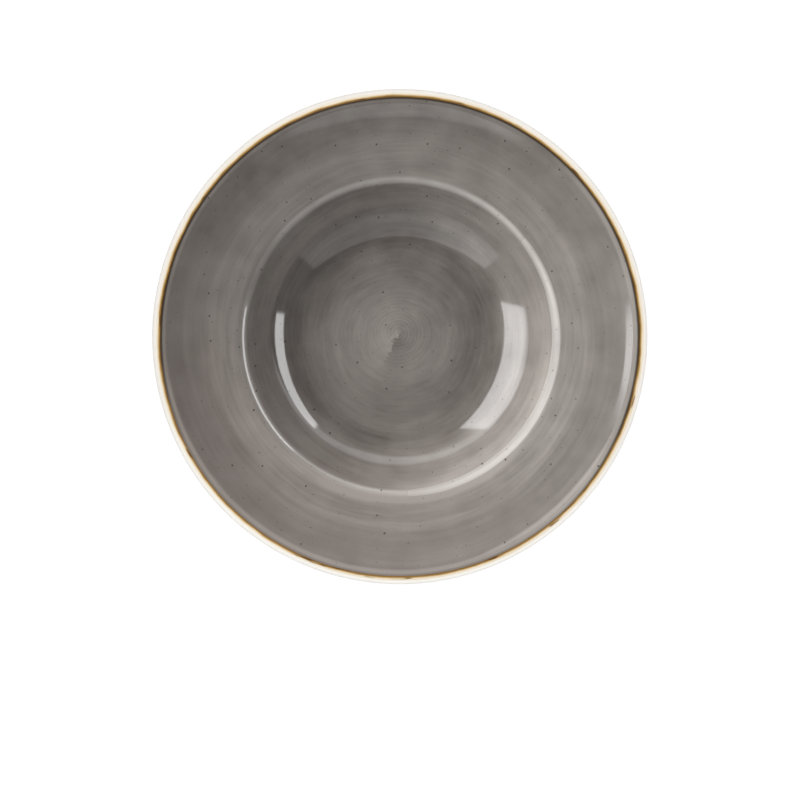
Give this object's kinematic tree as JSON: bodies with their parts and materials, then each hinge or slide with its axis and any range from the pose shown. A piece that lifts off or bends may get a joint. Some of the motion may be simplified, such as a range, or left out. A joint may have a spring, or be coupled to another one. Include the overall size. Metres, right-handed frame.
{
  "type": "rimmed soup plate",
  "caption": "Wide-rimmed round soup plate with a deep well and a small foot ring, brushed grey glaze on the face, ivory glaze on lip and back, brown and amber edge lines",
  "frame": {"origin": "On the table, in the middle of the foot ring's bearing face", "axes": "+Z is the plate's turning axis and points up out of the well; X and Y lie in the plane of the foot"},
  "size_m": [0.28, 0.28, 0.0505],
  "materials": {
    "fired_clay": "matt",
    "grey_glaze": "gloss",
    "brown_line": "gloss",
    "ivory_glaze": "gloss",
    "amber_line": "gloss"
  },
  "bodies": {
    "root": {"clay_body": "fired_clay", "face_glaze": "grey_glaze", "rim_line": "brown_line", "lip_glaze": "ivory_glaze", "edge_line": "amber_line", "back_glaze": "ivory_glaze", "base_glaze": "ivory_glaze"}
  },
  "joints": []
}
